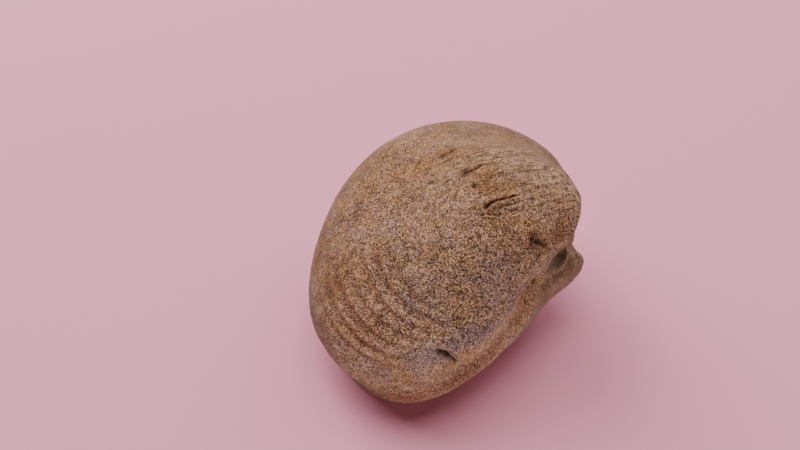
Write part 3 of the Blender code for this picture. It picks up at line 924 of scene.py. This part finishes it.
def stone_material(settings):
    """Return the sandstone: grain tones, mottling, layers, mineral stains, painted shade, light and floor
    bounce, dark pores and grain relief.
    """
    material = bpy.data.materials.new("grainy_sandstone")
    material.use_nodes = True
    tree = material.node_tree
    shader = tree.nodes["Principled BSDF"]
    place = put(tree, "ShaderNodeTexCoord").outputs["Object"]
    grain_tree = grain_group()
    blotch_tree = blotch_group()

    def zone(name):
        return put(tree, "ShaderNodeAttribute", attribute_name=name).outputs["Fac"]

    def pattern(group, **inputs):
        return put(tree, "ShaderNodeGroup", {"Vector": place, **inputs}, node_tree=group).outputs

    def blotches(length, levels, detail=BLOTCH_DETAIL):
        low, high = levels
        return pattern(blotch_tree, Length=length, Low=low, High=high, Detail=detail)["Mask"]

    def times(first, second, clamp=False):
        return math_node(tree, "MULTIPLY", first, second, clamp)

    def plus(first, second):
        return math_node(tree, "ADD", first, second)

    def larger(first, second):
        return math_node(tree, "MAXIMUM", first, second)

    def centred(value, share):
        return times(math_node(tree, "SUBTRACT", value, 0.5), share)

    def tinted(color, amount, setting, blend="MIX"):
        return mix_color(tree, amount, color, opaque(getattr(settings, setting)), blend)

    # Grain tones over slow mottling, softer in the smooth zones, read off a dark to light ramp.
    fine = pattern(grain_tree, Grain=settings.fine_grain / MM)
    coarse = pattern(grain_tree, Grain=settings.coarse_grain / MM)
    fades = [times(zone(name), share) for name, share in SMOOTHNESS.items()]
    soft = functools.reduce(larger, fades)
    crisp = math_node(tree, "SUBTRACT", 1.0, soft)
    speckle = plus(centred(fine["Tone"], FINE_CONTRAST), centred(coarse["Tone"], COARSE_CONTRAST))
    mottles = [centred(blotches(length, WIDE_LEVELS), swing) for length, swing in MOTTLING]
    mottling = functools.reduce(plus, mottles)
    low, high = MIDDLE_LEVELS
    layers = pattern(streak_group(), Turn=LAYER_TURN, Width=LAYER_WIDTH, Low=low, High=high)["Mask"]
    layering = times(zone("laminae"), centred(layers, LAYER_CONTRAST))
    tone = plus(plus(times(speckle, crisp), mottling), plus(0.5, layering))
    # The sandy lift: a paler sandy tone and painted light on the lower front faces.
    tone = plus(tone, times(zone("sandy"), SANDY_TONE_AND_PAINTED_LIGHT_LIFT))
    color = tone_ramp(tree, tone, settings)

    # Single grains and soft blotches lean to orange or to purple grey, and the fine layers to a pale tone.
    for low, high, tint in GRAIN_TINTS:
        lean = put(tree, "ShaderNodeMapRange", {"Value": fine["Hue"], "From Min": low, "From Max": high})
        color = tinted(color, times(lean.outputs["Result"], GRAIN_TINT_SHARE), tint, "COLOR")
    for length, tint in BLOTCH_TINTS:
        color = tinted(color, times(blotches(length, TINT_LEVELS), BLOTCH_TINT_SHARE), tint, "COLOR")
    pale_layers = times(zone("laminae"), plus(PALE_LAYER_BASE, layers))
    color = tinted(color, times(pale_layers, PALE_LAYER_SHARE, clamp=True), "pale_color")

    # Mineral stains, broken up by blotches, with painted floor bounce and shade on the near rim and painted
    # shade in the ridge trough. Each shifts the grains' hue and darkens them.
    for name, (tint, share, shade, length) in STAINS.items():
        amount = times(zone(name), plus(STAIN_BASE, blotches(length, MIDDLE_LEVELS)), clamp=True)
        color = tinted(color, times(amount, share), tint, "COLOR")
        color = tinted(color, times(amount, shade), "pore_and_shade_color")
    # Painted shade in the pocket, cracks and pits, with the pocket's greenish tone.
    for name, (tint, share) in DEEP_PAINTED_SHADE.items():
        color = tinted(color, times(zone(name), share), tint)
    pores = times(blotches(PORE_LENGTH, PORE_LEVELS, PORE_DETAIL), crisp)
    color = tinted(color, times(pores, PORE_SHARE), "pore_and_shade_color")
    tree.links.new(color, shader.inputs["Base Color"])

    # Grain relief, pores and fine layers.
    height = plus(times(fine["Height"], crisp), times(coarse["Height"], COARSE_HEIGHT))
    height = plus(height, times(fine["Tone"], TONE_HEIGHT))
    height = math_node(tree, "SUBTRACT", height, times(pores, PORE_DEPTH))
    height = plus(height, times(zone("laminae"), times(layers, LAYER_HEIGHT)))
    inputs = {"Height": height, "Strength": 1.0, "Distance": settings.grain_relief}
    tree.links.new(put(tree, "ShaderNodeBump", inputs).outputs["Normal"], shader.inputs["Normal"])
    low, high = ROUGHNESS_RANGE
    rough = put(tree, "ShaderNodeMapRange", {"Value": coarse["Tone"], "To Min": low, "To Max": high})
    tree.links.new(rough.outputs["Result"], shader.inputs["Roughness"])
    shader.inputs["Specular IOR Level"].default_value = STONE_SPECULAR
    return material


def floor_material(settings):
    """Return the plain pale matt floor, which throws back a paler light than it shows."""
    material = bpy.data.materials.new("pale_floor")
    material.use_nodes = True
    tree = material.node_tree
    shader = tree.nodes["Principled BSDF"]
    seen = put(tree, "ShaderNodeLightPath").outputs["Is Camera Ray"]
    color = mix_color(tree, seen, opaque(settings.bounce_color), opaque(settings.floor_color))
    tree.links.new(color, shader.inputs["Base Color"])
    shader.inputs["Roughness"].default_value = FLOOR_ROUGHNESS
    shader.inputs["Specular IOR Level"].default_value = FLOOR_SPECULAR
    return material


# ---- Settings ----

def color_property(name, description, color):
    """Return a colour setting with a display-colour default."""
    return FloatVectorProperty(name=name, description=description, subtype="COLOR", size=3, min=0, max=1,
                               default=srgb(*color))


def length_property(name, description, millimetres):
    """Return a length setting with a default in millimetres."""
    return FloatProperty(name=name, description=description, unit="LENGTH", precision=5,
                         default=millimetres * MM)


class FossilStoneSettings(bpy.types.PropertyGroup):
    """Sizes and colours of the stone"""

    ridge_height: length_property("Ridge height", "How far the growth ridges stand up", 0.3)
    lump_height: length_property("Lump height", "Size of the slow lumps", 0.16)
    grit_height: length_property("Grit height", "Size of the small unevenness", 0.07)
    seam_depth: length_property("Seam depth", "Depth of the groove between the valves", 0.8)
    rough_height: length_property("Rough height", "Size of the small ledges beside the upper beak", 0.28)
    grain_relief: length_property("Grain relief", "Height of the sand grains in the surface finish", 0.034)
    fine_grain: length_property("Fine grain", "Width of the fine sand grains", 0.165)
    coarse_grain: length_property("Coarse grain", "Width of the coarse sand grains", 0.42)
    stone_color: color_property("Stone", "Main tone of the sandstone", (126, 88, 63))
    light_color: color_property("Light grains", "Tone of the lightest grains", (216, 171, 127))
    dark_color: color_property("Dark grains", "Tone of the dark grains", (88, 54, 39))
    # Pores and darkest grains, also the darkening of the painted shade on the near rim and in the ridge
    # trough.
    pore_and_shade_color: color_property("Pores", "Tone of the pores and the darkest grains", (30, 14, 8))
    # Painted shade inside the cracks and pits.
    crack_shade_color: color_property("Cracks", "Tone inside the cracks and pits", (44, 25, 16))
    pale_color: color_property("Pale layers", "Tone of the fine layers by the upper beak", (176, 142, 113))
    band_color: color_property("Pale band", "Tone of the band beside the seam", (134, 106, 98))
    grey_color: color_property("Grey stain", "Tone of the purple grey patches", (124, 100, 98))
    orange_color: color_property("Orange stain", "Tone of the iron stains", (166, 112, 62))
    # Red of the stains, also the painted bounce light of the pink floor on the near rim.
    red_stain_and_bounce_color: color_property("Red stain", "Tone of the brown red zone and rim", (146, 92, 70))
    seam_color: color_property("Seam stain", "Tone of the stain along the seam", (146, 100, 64))
    beak_color: color_property("Smooth beak", "Tone of the smooth lower beak", (140, 105, 91))
    # Greenish tone of the pocket, darkened as painted shade.
    hollow_tone_and_shade_color: color_property("Hollow", "Tone in the pocket beside the hinge", (108, 90, 66))


class FossilStageSettings(bpy.types.PropertyGroup):
    """Floor, light and camera"""

    floor_color: color_property("Floor", "Colour of the floor", (250, 162, 187))
    bounce_color: color_property("Bounce", "Colour of the light off the floor", (222, 188, 194))
    light_level: FloatProperty(name="Light", description="Scale of all soft boxes", default=1.0, min=0)
    room_level: FloatProperty(name="Room", description="Strength of the even light of the room",
                              default=0.02, min=0)
    lens: FloatProperty(name="Lens", description="Focal length on a 36 mm sensor", unit="CAMERA",
                        default=24.975)
    elevation: FloatProperty(name="Elevation", description="How far the camera looks down",
                             subtype="ANGLE", default=math.radians(45))
    camera_place: FloatVectorProperty(name="Camera place", description="Where the camera stands", size=3,
                                      subtype="TRANSLATION", default=(-0.002209, -0.068513, 0.094543))


# ---- Operators ----

class FOSSIL_OT_build_stone(bpy.types.Operator):
    """Build the fine stone over its solid"""

    bl_idname = "fossil.build_stone"
    bl_label = "Build Stone"

    def execute(self, context):
        settings = context.scene.fossil_stone
        points, zones = stone_arrays(settings)
        mesh = grid_mesh("sandstone_mould", points)
        add_zones(mesh, zones)
        mesh.materials.append(stone_material(settings))
        stone = bpy.data.objects.new("sandstone_mould", mesh)
        context.collection.objects.link(stone)
        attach(stone, "root")
        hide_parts("fossil_bivalve")
        return {"FINISHED"}


class FOSSIL_OT_build_stage(bpy.types.Operator):
    """Lay the floor, hang the lights and stand the camera"""

    bl_idname = "fossil.build_stage"
    bl_label = "Build Stage"

    def execute(self, context):
        settings = context.scene.fossil_stage
        corners = np.array(((-1, -1, 0), (1, -1, 0), (1, 1, 0), (-1, 1, 0))) * FLOOR_HALF_WIDTH
        mesh = bpy.data.meshes.new("floor")
        mesh.from_pydata(corners.tolist(), [], [(0, 1, 2, 3)])
        mesh.materials.append(floor_material(settings))
        floor = bpy.data.objects.new("floor", mesh)
        context.collection.objects.link(floor)

        for name, (place, width, height, watts) in SOFT_BOXES.items():
            light = bpy.data.lights.new(name, "AREA")
            light.shape = "RECTANGLE"
            light.size = width
            light.size_y = height
            light.energy = watts * settings.light_level
            lamp = bpy.data.objects.new(name, light)
            lamp.location = place
            lamp.rotation_euler = (LIGHT_TARGET - lamp.location).to_track_quat("-Z", "Y").to_euler()
            context.collection.objects.link(lamp)

        world = bpy.data.worlds.new("dim_room")
        world.use_nodes = True
        background = world.node_tree.nodes["Background"]
        background.inputs["Color"].default_value = (1, 1, 1, 1)
        background.inputs["Strength"].default_value = settings.room_level
        context.scene.world = world

        camera = bpy.data.objects.new("camera", bpy.data.cameras.new("camera"))
        camera.data.sensor_width = CAMERA_SENSOR
        camera.data.lens = settings.lens
        camera.data.clip_start = CAMERA_NEAREST
        camera.location = settings.camera_place
        camera.rotation_euler = (math.pi / 2 - settings.elevation, 0, 0)
        context.collection.objects.link(camera)
        context.scene.camera = camera
        return {"FINISHED"}


class FOSSIL_PT_panel(bpy.types.Panel):
    """Buttons and settings in the sidebar"""

    bl_idname = "FOSSIL_PT_panel"
    bl_label = "Fossil Bivalve"
    bl_space_type = "VIEW_3D"
    bl_region_type = "UI"
    bl_category = "Fossil"

    def draw(self, context):
        rows = (("fossil_stone", "fossil.build_stone"), ("fossil_stage", "fossil.build_stage"))
        for group, operator in rows:
            settings = getattr(context.scene, group)
            column = self.layout.column()
            for name in settings.bl_rna.properties.keys():
                if name not in ("rna_type", "name"):
                    column.prop(settings, name)
            column.operator(operator)


CLASSES = (
    FossilStoneSettings,
    FossilStageSettings,
    FOSSIL_OT_build_stone,
    FOSSIL_OT_build_stage,
    FOSSIL_PT_panel,
)


def register():
    for item in CLASSES:
        bpy.utils.register_class(item)
    bpy.types.Scene.fossil_stone = PointerProperty(type=FossilStoneSettings)
    bpy.types.Scene.fossil_stage = PointerProperty(type=FossilStageSettings)


def unregister():
    del bpy.types.Scene.fossil_stage
    del bpy.types.Scene.fossil_stone
    for item in reversed(CLASSES):
        bpy.utils.unregister_class(item)


def main():
    register()
    bpy.ops.fossil.build_stone()
    bpy.ops.fossil.build_stage()


if __name__ == "__main__":
    main()
